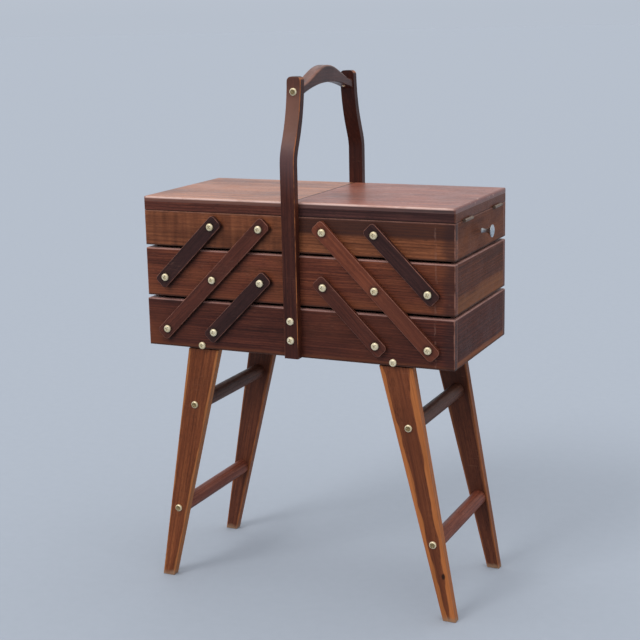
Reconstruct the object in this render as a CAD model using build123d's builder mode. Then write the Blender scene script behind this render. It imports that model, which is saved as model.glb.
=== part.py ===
from build123d import *
import math
import os

os.makedirs("parts", exist_ok=True)

# ---------------------------------------------------------------------------
# Sewing box on four splayed legs, with two tiers of half-length trays that
# swing out to the left and right on parallel arms.
# Millimetres.  X runs along the box, Y from front (-) to back (+), Z up.
# Origin: on the floor, under the middle of the box.
# ---------------------------------------------------------------------------

# ---- driving dimensions -----------------------------------------------------
box_length = 440.0            # all tiers, outside, along X
box_depth = 213.0             # bottom box, outside, along Y
tray_depth = 210.0            # trays and lids, a little less so they pass the handle
floor_to_box = 340.0          # underside of the bottom box above the floor
box_height = 65.2             # bottom box
mid_gap = 3.7                 # bottom box to middle tray
mid_height = 65.5             # middle trays
top_gap = 3.5                 # middle tray to top tray
top_height = 47.1             # top trays without lid
lid_height = 19.0             # top tray rim to top of lid
lid_seam = 0.4                # open joint between lid and tray
centre_gap = 0.5              # half of the joint between left and right trays
board = 10.0                  # side boards
panel = 4.0                   # bottom panels
tray_panel_up = 2.0           # tray panel above the lower edge of the boards
box_panel_up = 16.0           # box panel above the lower edge, room for leg tongues
lid_panel_thickness = 7.0
rim_joint = 0.02              # glue line between the rails of the lid rim
arris_top = 2.5               # rounding of the upper outer edges
arris_side = 1.5              # rounding of the upright corners
arris_low = 1.2               # rounding of the lower outer edges of the trays
arris_low_box = 0.8           # the same on the bottom box
arris_seam = 0.4              # easing along the joint between lid and tray

# arm pivots, a square grid
pivot_pitch = 71.0
pivot_x_outer = 187.0
pivot_z_low = 25.3            # above the underside of the bottom box
arm_width = 20.0
arm_thickness = 5.5
arm_standoff = 1.0            # arm to the face of the bottom box
arm_end = 13.3                # pivot to the end of the arm
arm_corner = 5.5
arm_bore = 2.55               # running on the screw shank

# pan-head screws
screw_head_r = 5.0
screw_head_h = 3.0
screw_shank_r = 2.5
arm_screw_length = 15.0
head_clearance = 0.2          # head above the arm
handle_screw_length = 19.5
handle_top_screw_length = 26.0
leg_screw_length = 26.0
tongue_screw_length = 16.0

# legs
leg_thickness = 12.0
leg_setback = 5.0             # leg face behind the face of the front board
leg_x_upper_screw = 156.2
leg_z_upper_screw = 258.0
leg_x_lower_screw = 189.0
leg_z_lower_screw = 104.0
leg_z_tongue_screw = 344.3
leg_width_top = 46.0          # measured level, just under the box
leg_width_foot = 18.0         # measured level, on the floor
leg_shoulder_gap = 2.5        # shoulder below the front board
leg_tongue_top = 355.5
stretcher_r = 10.5

# handle
upright_width = 20.0
upright_thickness = 11.0
upright_top = 361.0           # above the underside of the box
upright_corner = 6.0
upright_bend_start = 250.0    # above the underside of the box
upright_bend_angle = 24.0
upright_bend_r1 = 50.0        # inner face, first bend
upright_bend_rise = 10.0      # height of the straight between the bends
upright_bend_r2 = 205.0       # inner face, second bend
handle_screw_low = 24.5
handle_screw_high = 50.0
handle_screw_top = 342.0
crossbar_width = 17.0
crossbar_reach = 86.0         # half length before it is fitted to the uprights

# hinges and knob
hinge_length = 31.0
hinge_y = 61.5                # centre of each hinge from the middle of the lid
hinge_leaf = 0.9
hinge_barrel_r = 2.1
hinge_pin_r = 1.0
hinge_leaf_reach = 9.0
hinge_knuckle = 10.2
knob_z = 161.3                # above the underside of the box
knob_r = 8.25
lid_pin_out = 2.4             # hinge pin outside the end face

# ---- levels ---------------------------------------------------------------------
z_box = floor_to_box
z_box_top = z_box + box_height
z_mid = z_box_top + mid_gap
z_mid_top = z_mid + mid_height
z_top = z_mid_top + top_gap
z_top_top = z_top + top_height
z_lid = z_top_top + lid_seam
z_lid_top = z_top_top + lid_height

box_y = box_depth / 2
tray_y = tray_depth / 2
x_end = box_length / 2
x_in = centre_gap

px = [pivot_x_outer, pivot_x_outer - pivot_pitch, pivot_x_outer - 2 * pivot_pitch]
pz = [z_box + pivot_z_low, z_box + pivot_z_low + pivot_pitch, z_box + pivot_z_low + 2 * pivot_pitch]
base_pivots = [(px[0], pz[0]), (px[1], pz[0])]
mid_pivots = [(px[0], pz[1]), (px[1], pz[1]), (px[2], pz[1])]
top_pivots = [(px[1], pz[2]), (px[2], pz[2])]

arm_back = box_y + arm_standoff
arm_front = arm_back + arm_thickness
screw_seat = arm_front + head_clearance
arm_screw_tip = screw_seat - arm_screw_length

pin_x = x_end + lid_pin_out
pin_z = z_top_top + lid_seam / 2


# ---- helpers ----------------------------------------------------------------------
def envelope(x0, x1, half_y, z0, z1, both_ends, r_up, r_low):
    """Outer form of one tier: upper edges, lower edges and upright corners rounded."""
    with BuildPart() as form:
        with BuildSketch(Plane.XZ) as side:
            with Locations(((x0 + x1) / 2, (z0 + z1) / 2)):
                Rectangle(x1 - x0, z1 - z0)
            upper = side.vertices().filter_by(lambda v: v.Y > (z0 + z1) / 2)
            fillet(upper if both_ends else upper.sort_by(Axis.X)[-1:], r_up)
            lower = side.vertices().group_by(Axis.Y)[0]
            fillet(lower if both_ends else lower.sort_by(Axis.X)[-1:], r_low)
        extrude(amount=half_y, both=True)
        with BuildSketch(Plane.YZ) as end:
            with Locations((0, (z0 + z1) / 2)):
                Rectangle(2 * half_y, z1 - z0)
            fillet(end.vertices().group_by(Axis.Y)[-1], r_up)
            fillet(end.vertices().group_by(Axis.Y)[0], r_low)
        extrude(amount=x_end + 10, both=True, mode=Mode.INTERSECT)
        with BuildSketch(Plane.XY.offset(z0 - 1)) as plan:
            with Locations(((x0 + x1) / 2, 0)):
                Rectangle(x1 - x0, 2 * half_y)
            if both_ends:
                fillet(plan.vertices(), arris_side)
            else:
                fillet(plan.vertices().sort_by(Axis.X)[-2:], arris_side)
        extrude(amount=z1 - z0 + 2, mode=Mode.INTERSECT)
    return form.part


def front_board(form, x0, x1, half_y, z0, z1, pivots, depth):
    """Front board of a tier with blind holes for the pivot screws."""
    with BuildPart() as piece:
        with BuildSketch(Plane.XY.offset(z0)):
            with Locations(((x0 + x1) / 2, -half_y + board / 2)):
                Rectangle(x1 - x0, board)
        extrude(amount=z1 - z0)
        add(form, mode=Mode.INTERSECT)
        with BuildSketch(Plane.XZ.offset(half_y)):
            with Locations(*pivots):
                Circle(screw_shank_r)
        extrude(amount=-depth, mode=Mode.SUBTRACT)
    return piece.part


def end_board(form, x0, x1, half_y, z0, z1):
    """Board between the front and back boards."""
    with BuildPart() as piece:
        with BuildSketch(Plane.XY.offset(z0)):
            with Locations(((x0 + x1) / 2, 0)):
                Rectangle(x1 - x0, 2 * (half_y - board))
        extrude(amount=z1 - z0)
        if form is not None:
            add(form, mode=Mode.INTERSECT)
    return piece.part


def flat_panel(x0, x1, half_y, z0, thickness):
    with BuildPart() as piece:
        with BuildSketch(Plane.XY.offset(z0)):
            with Locations(((x0 + x1) / 2, 0)):
                Rectangle(x1 - x0, 2 * half_y)
        extrude(amount=thickness)
    return piece.part


def pan_screw(length):
    """Pan-head screw with a cross recess: head up from z = 0, shank down."""
    with BuildPart() as screw:
        with BuildSketch(Plane.XZ):
            with BuildLine():
                Line((0, screw_head_h), (2.9, screw_head_h - 0.12))
                Spline(
                    (2.9, screw_head_h - 0.12), (4.45, screw_head_h - 0.75), (screw_head_r, 1.1),
                    tangents=[(1, -0.08), (0.05, -1)],
                )
                Polyline(
                    (screw_head_r, 1.1), (screw_head_r - 0.15, 0), (screw_shank_r, 0),
                    (screw_shank_r, -length + 2.5), (0.9, -length), (0, -length),
                    (0, screw_head_h),
                )
            make_face()
        revolve(axis=Axis.Z)
        with BuildSketch(Plane.XY.offset(screw_head_h)):
            Rectangle(5.2, 1.2)
            Rectangle(1.2, 5.2)
            Circle(1.2)
        extrude(amount=-1.0, taper=14, mode=Mode.SUBTRACT)
    return screw.part


def front_screw(x, z, y, turn):
    """Place of a screw whose head looks to the front."""
    return Location((x, -y, z), (90, 0, 0)) * Location((0, 0, 0), (0, 0, turn))


def back_screw(x, z, y, turn):
    """Place of a screw whose head looks to the back."""
    return Location((x, y, z), (-90, 0, 0)) * Location((0, 0, 0), (0, 0, turn))


# ---------------------------------------------------------------------------
# Bottom box
# ---------------------------------------------------------------------------
box_form = envelope(-x_end, x_end, box_y, z_box, z_box_top, True, arris_top, arris_low_box)
base_holes = base_pivots + [(-x, z) for x, z in base_pivots]
tongue_screw_x = leg_x_upper_screw + (leg_z_upper_screw - leg_z_tongue_screw) * (
    (leg_x_lower_screw - leg_x_upper_screw) / (leg_z_upper_screw - leg_z_lower_screw)
)
handle_screw_z = [z_box + handle_screw_low, z_box + handle_screw_high]

box_front_board_blank = front_board(box_form, -x_end, x_end, box_y, z_box, z_box_top, base_holes, box_y - arm_screw_tip)
with BuildPart() as box_front_board:
    add(box_front_board_blank)
    with BuildSketch(Plane.XZ.offset(box_y)):
        with Locations((0, handle_screw_z[0]), (0, handle_screw_z[1])):
            Circle(screw_shank_r)
    extrude(amount=-(handle_screw_length - upright_thickness), mode=Mode.SUBTRACT)
    with BuildSketch(Plane.XZ.offset(box_y)):
        with Locations((tongue_screw_x, leg_z_tongue_screw), (-tongue_screw_x, leg_z_tongue_screw)):
            Circle(screw_shank_r)
    extrude(amount=-board, mode=Mode.SUBTRACT)

with BuildPart() as box_back_board:
    mirror(box_front_board.part, about=Plane.XZ)

box_right_end_board_blank = end_board(box_form, x_end - board, x_end, box_y, z_box, z_box_top)
with BuildPart() as box_right_end_board:
    add(box_right_end_board_blank)

with BuildPart() as box_left_end_board:
    mirror(box_right_end_board.part, about=Plane.YZ)

box_bottom_panel_blank = flat_panel(-x_end + board, x_end - board, box_y - board, z_box + box_panel_up, panel)
with BuildPart() as box_bottom_panel:
    add(box_bottom_panel_blank)

# ---------------------------------------------------------------------------
# Legs: flat tapered boards splayed along X; the top is a tongue that stands
# behind the front or back board, with a shoulder just below its edge
# ---------------------------------------------------------------------------
leg_slope = (leg_x_lower_screw - leg_x_upper_screw) / (leg_z_upper_screw - leg_z_lower_screw)
leg_z_top_width = z_box - 4.0


def leg_axis(z):
    return leg_x_upper_screw + (leg_z_upper_screw - z) * leg_slope


def leg_half(z):
    return (leg_width_foot + (leg_width_top - leg_width_foot) * z / leg_z_top_width) / 2


leg_shoulder = z_box - leg_shoulder_gap
leg_face = box_y - leg_setback
leg_back = leg_face - leg_thickness

with BuildPart() as front_right_leg:
    with BuildSketch(Plane.XZ.offset(leg_back)):
        with BuildLine():
            Polyline(
                (leg_axis(0) - leg_half(0), 0),
                (leg_axis(0) + leg_half(0), 0),
                (leg_axis(leg_shoulder) + leg_half(leg_shoulder), leg_shoulder),
                (leg_axis(leg_shoulder) - leg_half(leg_shoulder), leg_shoulder),
                close=True,
            )
        make_face()
    extrude(amount=leg_thickness)
    fillet(
        front_right_leg.edges().filter_by(lambda e: abs(e.tangent_at(0.5).Z) > 0.9),
        1.2,
    )
    chamfer(front_right_leg.edges().group_by(Axis.Z)[0], 0.6)
    with BuildSketch(Plane.XZ.offset(leg_back)):
        with BuildLine():
            Polyline(
                (leg_axis(leg_shoulder) - leg_half(leg_shoulder) + 1.2, leg_shoulder - 1.0),
                (leg_axis(leg_shoulder) + leg_half(leg_shoulder) - 1.2, leg_shoulder - 1.0),
                (leg_axis(leg_tongue_top) + leg_half(leg_tongue_top) - 1.2, leg_tongue_top),
                (leg_axis(leg_tongue_top) - leg_half(leg_tongue_top) + 1.2, leg_tongue_top),
                close=True,
            )
        make_face()
    extrude(amount=box_y - board - leg_back)
    with BuildSketch(Plane.XZ.offset(leg_back)):
        with Locations(
            (leg_x_upper_screw, leg_z_upper_screw),
            (leg_x_lower_screw, leg_z_lower_screw),
        ):
            Circle(screw_shank_r)
    extrude(amount=leg_thickness, mode=Mode.SUBTRACT)
    with BuildSketch(Plane.XZ.offset(box_y - board)):
        with Locations((tongue_screw_x, leg_z_tongue_screw)):
            Circle(screw_shank_r)
    extrude(amount=-(tongue_screw_length - board), mode=Mode.SUBTRACT)

with BuildPart() as front_left_leg:
    mirror(front_right_leg.part, about=Plane.YZ)

with BuildPart() as back_right_leg:
    mirror(front_right_leg.part, about=Plane.XZ)

with BuildPart() as back_left_leg:
    mirror(front_left_leg.part, about=Plane.XZ)

# ---- round stretchers between front and back legs -------------------------------
stretcher_bore = leg_screw_length - leg_thickness


def stretcher(x, z):
    with BuildPart() as rod:
        with BuildSketch(Plane.XZ):
            with Locations((x, z)):
                Circle(stretcher_r)
        extrude(amount=leg_back, both=True)
        with BuildSketch(Plane.XZ.offset(leg_back)):
            with Locations((x, z)):
                Circle(screw_shank_r)
        extrude(amount=-stretcher_bore, mode=Mode.SUBTRACT)
        with BuildSketch(Plane.XZ.offset(-leg_back)):
            with Locations((x, z)):
                Circle(screw_shank_r)
        extrude(amount=stretcher_bore, mode=Mode.SUBTRACT)
    return rod.part


right_upper_stretcher_blank = stretcher(leg_x_upper_screw, leg_z_upper_screw)
with BuildPart() as right_upper_stretcher:
    add(right_upper_stretcher_blank)

right_lower_stretcher_blank = stretcher(leg_x_lower_screw, leg_z_lower_screw)
with BuildPart() as right_lower_stretcher:
    add(right_lower_stretcher_blank)

with BuildPart() as left_upper_stretcher:
    mirror(right_upper_stretcher.part, about=Plane.YZ)

with BuildPart() as left_lower_stretcher:
    mirror(right_lower_stretcher.part, about=Plane.YZ)

# ---------------------------------------------------------------------------
# Handle: two uprights screwed to the bottom box, set in above the lids, and
# an arched crossbar between their tops
# ---------------------------------------------------------------------------
bend = math.radians(upright_bend_angle)
bend_z = z_box + upright_bend_start
c1 = (box_y - upright_bend_r1, bend_z)
run = upright_bend_rise / math.cos(bend)
in1 = (c1[0] + upright_bend_r1 * math.cos(bend), c1[1] + upright_bend_r1 * math.sin(bend))
in2 = (in1[0] - run * math.sin(bend), in1[1] + run * math.cos(bend))
c2 = (in2[0] + upright_bend_r2 * math.cos(bend), in2[1] + upright_bend_r2 * math.sin(bend))
out_r1 = upright_bend_r1 + upright_thickness
out_r2 = upright_bend_r2 - upright_thickness
out1 = (c1[0] + out_r1 * math.cos(bend), c1[1] + out_r1 * math.sin(bend))
out2 = (out1[0] - run * math.sin(bend), out1[1] + run * math.cos(bend))
upright_in_top = (c2[0] - upright_bend_r2, c2[1])
upright_out_top = (c2[0] - out_r2, c2[1])
seat_top = upright_out_top[0] + 0.55



def inner_y(z):
    """Inner face of the back upright at level z."""
    if z <= bend_z:
        return box_y
    if z <= in1[1]:
        return c1[0] + math.sqrt(upright_bend_r1**2 - (z - c1[1]) ** 2)
    if z <= in2[1]:
        return in1[0] - (z - in1[1]) * math.tan(bend)
    return c2[0] - math.sqrt(upright_bend_r2**2 - (z - c2[1]) ** 2)


with BuildPart() as handle_back_upright:
    with BuildSketch(Plane.YZ):
        with BuildLine():
            Line((box_y, z_box), (box_y, bend_z))
            CenterArc(c1, upright_bend_r1, 0, upright_bend_angle)
            Line(in1, in2)
            CenterArc(c2, upright_bend_r2, 180, upright_bend_angle)
            Line(upright_in_top, upright_out_top)
            CenterArc(c2, out_r2, 180, upright_bend_angle)
            Line(out2, out1)
            CenterArc(c1, out_r1, 0, upright_bend_angle)
            Polyline(
                (box_y + upright_thickness, bend_z),
                (box_y + upright_thickness, z_box),
                (box_y, z_box),
            )
        make_face()
    extrude(amount=upright_width / 2, both=True)
    with BuildSketch(Plane.XZ) as face_form:
        with Locations((0, z_box + upright_top / 2)):
            Rectangle(upright_width, upright_top)
        fillet(face_form.vertices().sort_by(Axis.Y)[-2:], upright_corner)
    extrude(amount=box_y + 30, both=True, mode=Mode.INTERSECT)
    long_edges = handle_back_upright.edges().filter_by(
        lambda e: abs(abs(e.center().X) - upright_width / 2) < 0.01
        and abs(e.tangent_at(0.5).X) < 0.01
        and e.length > 3
    )
    outer_edges = long_edges.filter_by(
        lambda e: (e @ 0.5).Y - inner_y((e @ 0.5).Z) > upright_thickness / 2
    )
    fillet(outer_edges, 1.4)
    with BuildSketch(Plane.XZ.offset(-seat_top)):
        with Locations((0, z_box + handle_screw_top)):
            Circle(screw_head_r + 0.1)
    extrude(amount=-10, mode=Mode.SUBTRACT)
    with BuildSketch(Plane.XZ):
        with Locations(
            (0, handle_screw_z[0]), (0, handle_screw_z[1]), (0, z_box + handle_screw_top)
        ):
            Circle(screw_shank_r)
    extrude(amount=-(box_y + 30), mode=Mode.SUBTRACT)

with BuildPart() as handle_front_upright:
    mirror(handle_back_upright.part, about=Plane.XZ)

with BuildPart() as handle_crossbar:
    with BuildSketch(Plane.YZ):
        with BuildLine():
            Spline(
                (-crossbar_reach, z_box + 349.2),
                (-60, z_box + 354.7),
                (-40, z_box + 362.5),
                (-20, z_box + 369.3),
                (0, z_box + 371.8),
                (20, z_box + 369.3),
                (40, z_box + 362.5),
                (60, z_box + 354.7),
                (crossbar_reach, z_box + 349.2),
                tangents=[(1, 0.08), (1, -0.08)],
            )
            Line((crossbar_reach, z_box + 349.2), (crossbar_reach, z_box + 335.5))
            ThreePointArc(
                (crossbar_reach, z_box + 335.5),
                (0, z_box + 349.5),
                (-crossbar_reach, z_box + 335.5),
            )
            Line((-crossbar_reach, z_box + 335.5), (-crossbar_reach, z_box + 349.2))
        make_face()
    extrude(amount=crossbar_width / 2, both=True)
    bar_long = handle_crossbar.edges().filter_by(
        lambda e: e.length > 60 and abs(abs(e.center().X) - crossbar_width / 2) < 0.01
    )
    fillet(bar_long.sort_by(Axis.Z)[-2:], 3.5)
    bar_low = handle_crossbar.edges().filter_by(
        lambda e: e.length > 60 and abs(abs(e.center().X) - crossbar_width / 2) < 0.01
    )
    fillet(bar_low.sort_by(Axis.Z)[:2], 2.0)
    add(handle_back_upright.part, mode=Mode.SUBTRACT)
    add(handle_front_upright.part, mode=Mode.SUBTRACT)
    with BuildSketch(Plane.XZ.offset(-(seat_top - handle_top_screw_length))):
        with Locations((0, z_box + handle_screw_top)):
            Circle(screw_shank_r)
    extrude(amount=-30, mode=Mode.SUBTRACT)
    with BuildSketch(Plane.XZ.offset(seat_top - handle_top_screw_length)):
        with Locations((0, z_box + handle_screw_top)):
            Circle(screw_shank_r)
    extrude(amount=30, mode=Mode.SUBTRACT)

# ---------------------------------------------------------------------------
# Middle trays
# ---------------------------------------------------------------------------
mid_form = envelope(x_in, x_end, tray_y, z_mid, z_mid_top, False, arris_top, arris_low)
tray_hole = tray_y - arm_screw_tip

right_mid_tray_front_board_blank = front_board(mid_form, x_in, x_end, tray_y, z_mid, z_mid_top, mid_pivots, tray_hole)
with BuildPart() as right_mid_tray_front_board:
    add(right_mid_tray_front_board_blank)

with BuildPart() as right_mid_tray_back_board:
    mirror(right_mid_tray_front_board.part, about=Plane.XZ)

right_mid_tray_outer_board_blank = end_board(mid_form, x_end - board, x_end, tray_y, z_mid, z_mid_top)
with BuildPart() as right_mid_tray_outer_board:
    add(right_mid_tray_outer_board_blank)

right_mid_tray_inner_board_blank = end_board(None, x_in, x_in + board, tray_y, z_mid, z_mid_top)
with BuildPart() as right_mid_tray_inner_board:
    add(right_mid_tray_inner_board_blank)

right_mid_tray_bottom_panel_blank = flat_panel(x_in + board, x_end - board, tray_y - board, z_mid + tray_panel_up, panel)
with BuildPart() as right_mid_tray_bottom_panel:
    add(right_mid_tray_bottom_panel_blank)

# ---------------------------------------------------------------------------
# Top trays, with hinge mortises and the knob hole in the outer end board
# ---------------------------------------------------------------------------
top_form = envelope(x_in, x_end, tray_y, z_top, z_top_top, False, arris_seam, arris_low)
lid_form = envelope(x_in, x_end, tray_y, z_lid, z_lid_top, False, arris_top, arris_seam)
mortise = hinge_leaf - (lid_seam / 2 - 0.05)
hinge_centres = [(x_end - hinge_leaf_reach / 2, -hinge_y), (x_end - hinge_leaf_reach / 2, hinge_y)]
leaf_screw_x = x_end - 5.0
leaf_screws = [(leaf_screw_x, s * hinge_y + d) for s in (-1, 1) for d in (-9.5, 9.5)]
leaf_screw_length = 7.0

right_top_tray_front_board_blank = front_board(
    top_form, x_in, x_end, tray_y, z_top, z_top_top, top_pivots, tray_hole
)
with BuildPart() as right_top_tray_front_board:
    add(right_top_tray_front_board_blank)

with BuildPart() as right_top_tray_back_board:
    mirror(right_top_tray_front_board.part, about=Plane.XZ)

right_top_tray_outer_board_blank = end_board(top_form, x_end - board, x_end, tray_y, z_top, z_top_top)
with BuildPart() as right_top_tray_outer_board:
    add(right_top_tray_outer_board_blank)
    with BuildSketch(Plane.XY.offset(z_top_top)):
        with Locations(*hinge_centres):
            Rectangle(hinge_leaf_reach, hinge_length)
    extrude(amount=-mortise, mode=Mode.SUBTRACT)
    with BuildSketch(Plane.XY.offset(z_top_top)):
        with Locations(*leaf_screws):
            Circle(hinge_pin_r)
    extrude(amount=-(mortise + leaf_screw_length - hinge_leaf), mode=Mode.SUBTRACT)
    with BuildSketch(Plane.YZ.offset(x_end)):
        with Locations((0, z_box + knob_z)):
            Circle(2.0)
    extrude(amount=-8.0, mode=Mode.SUBTRACT)

right_top_tray_inner_board_blank = end_board(None, x_in, x_in + board, tray_y, z_top, z_top_top)
with BuildPart() as right_top_tray_inner_board:
    add(right_top_tray_inner_board_blank)

right_top_tray_bottom_panel_blank = flat_panel(x_in + board, x_end - board, tray_y - board, z_top + tray_panel_up, panel)
with BuildPart() as right_top_tray_bottom_panel:
    add(right_top_tray_bottom_panel_blank)

# ---------------------------------------------------------------------------
# Lids: a panel on a rim of four rails
# ---------------------------------------------------------------------------
z_lid_panel = z_lid_top - lid_panel_thickness

with BuildPart() as right_lid_panel:
    with BuildSketch(Plane.XY.offset(z_lid_panel)):
        with Locations(((x_in + x_end) / 2, 0)):
            Rectangle(x_end - x_in, 2 * tray_y)
    extrude(amount=lid_panel_thickness)
    add(lid_form, mode=Mode.INTERSECT)

with BuildPart() as right_lid_rim:
    with BuildSketch(Plane.XY.offset(z_lid)):
        with Locations(((x_in + x_end) / 2, -tray_y + board / 2)):
            Rectangle(x_end - x_in, board)
        with Locations(((x_in + x_end) / 2, tray_y - board / 2)):
            Rectangle(x_end - x_in, board)
        # end rails between the long rails, each a solid of its own
        with Locations((x_end - board / 2, 0), (x_in + board / 2, 0)):
            Rectangle(board, 2 * (tray_y - board - rim_joint))
    extrude(amount=z_lid_panel - z_lid)
    add(lid_form, mode=Mode.INTERSECT)
    with BuildSketch(Plane.XY.offset(z_lid)):
        with Locations(*hinge_centres):
            Rectangle(hinge_leaf_reach, hinge_length)
    extrude(amount=mortise, mode=Mode.SUBTRACT)
    with BuildSketch(Plane.XY.offset(z_lid)):
        with Locations(*leaf_screws):
            Circle(hinge_pin_r)
    extrude(amount=mortise + leaf_screw_length - hinge_leaf, mode=Mode.SUBTRACT)

# ---------------------------------------------------------------------------
# Butt hinges in the seam at the outer end: the tray half carries the pin and
# the outer knuckles, the lid half the middle knuckle
# ---------------------------------------------------------------------------
leaf_low = pin_z - 0.05 - hinge_leaf      # underside of the tray leaf
leaf_high = pin_z + 0.05                  # underside of the lid leaf
knuckle_gap = (hinge_length - 3 * hinge_knuckle) / 2


def leaf_screw(slot):
    """Small countersunk screw, head at z = 0, shank down."""
    with BuildPart() as screw:
        with BuildSketch(Plane.XZ):
            with BuildLine():
                Polyline(
                    (0, 0), (1.9, 0), (hinge_pin_r, -hinge_leaf), (hinge_pin_r, -leaf_screw_length + 1.5),
                    (0.2, -leaf_screw_length), (0, -leaf_screw_length), (0, 0),
                )
            make_face()
        revolve(axis=Axis.Z)
        if slot:
            with BuildSketch(Plane.XY):
                Rectangle(4.0, 0.5)
            extrude(amount=-0.4, mode=Mode.SUBTRACT)
    return screw.part


small_screw = leaf_screw(True)
screw_room = leaf_screw(False)


def tray_leaf(yc):
    with BuildPart() as leaf:
        with BuildSketch(Plane.XY.offset(leaf_low)):
            with Locations((x_end - (hinge_leaf_reach + 0.1) / 2, yc)):
                Rectangle(hinge_leaf_reach - 0.1, hinge_length)
            for s in (-1, 1):
                with Locations(((x_end - 0.1 + pin_x) / 2, yc + s * (hinge_length - hinge_knuckle) / 2)):
                    Rectangle(pin_x - x_end + 0.1, hinge_knuckle)
        extrude(amount=hinge_leaf)
        for s in (-1, 1):
            with BuildSketch(Plane.XZ.offset(-(yc + s * (hinge_length - hinge_knuckle) / 2))):
                with Locations((pin_x, pin_z)):
                    Circle(hinge_barrel_r)
            extrude(amount=hinge_knuckle / 2, both=True)
        with BuildSketch(Plane.XZ.offset(-yc)):
            with Locations((pin_x, pin_z)):
                Circle(hinge_pin_r)
        extrude(amount=hinge_length, both=True, mode=Mode.SUBTRACT)
        for d in (-9.5, 9.5):
            with Locations(Location((leaf_screw_x, yc + d, leaf_low + hinge_leaf))):
                add(screw_room, mode=Mode.SUBTRACT)
    return leaf.part


def lid_leaf(yc):
    with BuildPart() as leaf:
        with BuildSketch(Plane.XY.offset(leaf_high)):
            with Locations((x_end - (hinge_leaf_reach + 0.1) / 2, yc)):
                Rectangle(hinge_leaf_reach - 0.1, hinge_length)
            with Locations(((x_end - 0.1 + pin_x) / 2, yc)):
                Rectangle(pin_x - x_end + 0.1, hinge_knuckle)
        extrude(amount=hinge_leaf)
        with BuildSketch(Plane.XZ.offset(-yc)):
            with Locations((pin_x, pin_z)):
                Circle(hinge_barrel_r)
        extrude(amount=hinge_knuckle / 2, both=True)
        with BuildSketch(Plane.XZ.offset(-yc)):
            with Locations((pin_x, pin_z)):
                Circle(hinge_pin_r + 0.05)
        extrude(amount=hinge_length, both=True, mode=Mode.SUBTRACT)
        for d in (-9.5, 9.5):
            with Locations(Location((leaf_screw_x, yc + d, leaf_high), (180, 0, 0))):
                add(screw_room, mode=Mode.SUBTRACT)
    return leaf.part


def hinge_pin(yc):
    with BuildPart() as pin:
        with BuildSketch(Plane.XZ.offset(-yc)):
            with Locations((pin_x, pin_z)):
                Circle(hinge_pin_r)
        extrude(amount=hinge_length / 2 + 0.6, both=True)
    return pin.part


hinge_tray_leaves_blank = [tray_leaf(-hinge_y), tray_leaf(hinge_y)]
hinge_lid_leaves_blank = [lid_leaf(-hinge_y), lid_leaf(hinge_y)]
hinge_pins = [hinge_pin(-hinge_y), hinge_pin(hinge_y)]
leaf_screw_spots = [(s * hinge_y + d, 17 * s + 3 * d) for s in (-1, 1) for d in (-9.5, 9.5)]

with BuildPart() as right_hinge_tray_leaves:
    add(hinge_tray_leaves_blank)
    add(hinge_pins)
    with Locations(
        *[Location((leaf_screw_x, y, leaf_low + hinge_leaf), (0, 0, turn)) for y, turn in leaf_screw_spots]
    ):
        add(small_screw)

with BuildPart() as right_hinge_lid_leaves:
    add(hinge_lid_leaves_blank)
    with Locations(
        *[Location((leaf_screw_x, y, leaf_high), (180, 0, turn)) for y, turn in leaf_screw_spots]
    ):
        add(small_screw)

with BuildPart() as left_hinge_tray_leaves:
    mirror(right_hinge_tray_leaves.part, about=Plane.YZ)

with BuildPart() as left_hinge_lid_leaves:
    mirror(right_hinge_lid_leaves.part, about=Plane.YZ)

# ---------------------------------------------------------------------------
# Pull knob on the outer end of the top tray
# ---------------------------------------------------------------------------
with BuildPart() as right_knob:
    with BuildSketch(Plane.XZ):
        with BuildLine():
            Polyline(
                (x_end - 8.0, z_box + knob_z),
                (x_end - 8.0, z_box + knob_z + 1.0),
                (x_end - 6.5, z_box + knob_z + 2.0),
                (x_end, z_box + knob_z + 2.0),
                (x_end, z_box + knob_z + 3.3),
                (x_end + 1.2, z_box + knob_z + 3.1),
            )
            Spline(
                (x_end + 1.2, z_box + knob_z + 3.1),
                (x_end + 4.5, z_box + knob_z + 2.5),
                (x_end + 8.0, z_box + knob_z + 2.9),
                (x_end + 11.0, z_box + knob_z + 5.0),
                (x_end + 13.2, z_box + knob_z + knob_r - 0.35),
                tangents=[(1, -0.3), (0.75, 1)],
            )
            Polyline(
                (x_end + 13.2, z_box + knob_z + knob_r - 0.35),
                (x_end + 13.7, z_box + knob_z + knob_r),
                (x_end + 14.4, z_box + knob_z + knob_r - 0.1),
            )
            Spline(
                (x_end + 14.4, z_box + knob_z + knob_r - 0.1),
                (x_end + 15.3, z_box + knob_z + 6.0),
                (x_end + 15.9, z_box + knob_z),
                tangents=[(0.55, -1), (0, -1)],
            )
            Line((x_end + 15.9, z_box + knob_z), (x_end - 8.0, z_box + knob_z))
        make_face()
    revolve(axis=Axis((0, 0, z_box + knob_z), (1, 0, 0)))

with BuildPart() as left_knob:
    mirror(right_knob.part, about=Plane.YZ)


# ---------------------------------------------------------------------------
# Arms: flat bars with squared ends and rounded corners, front and back alike
# ---------------------------------------------------------------------------
def arm(pivots):
    (xa, za), (xb, zb) = pivots[0], pivots[-1]
    span = math.hypot(xb - xa, zb - za)
    lean = math.degrees(math.atan2(zb - za, xb - xa))
    with BuildPart() as bar:
        with BuildSketch(Plane.XZ.offset(arm_back)):
            with Locations(((xa + xb) / 2, (za + zb) / 2)):
                RectangleRounded(span + 2 * arm_end, arm_width, arm_corner, rotation=lean)
        extrude(amount=arm_thickness)
        fillet(bar.faces().sort_by(Axis.Y)[0].outer_wire().edges(), 0.9)
        fillet(bar.faces().sort_by(Axis.Y)[-1].outer_wire().edges(), 0.5)
        with BuildSketch(Plane.XZ.offset(arm_back)):
            with Locations(*pivots):
                Circle(arm_bore)
        extrude(amount=arm_thickness, mode=Mode.SUBTRACT)
    return bar.part


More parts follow.
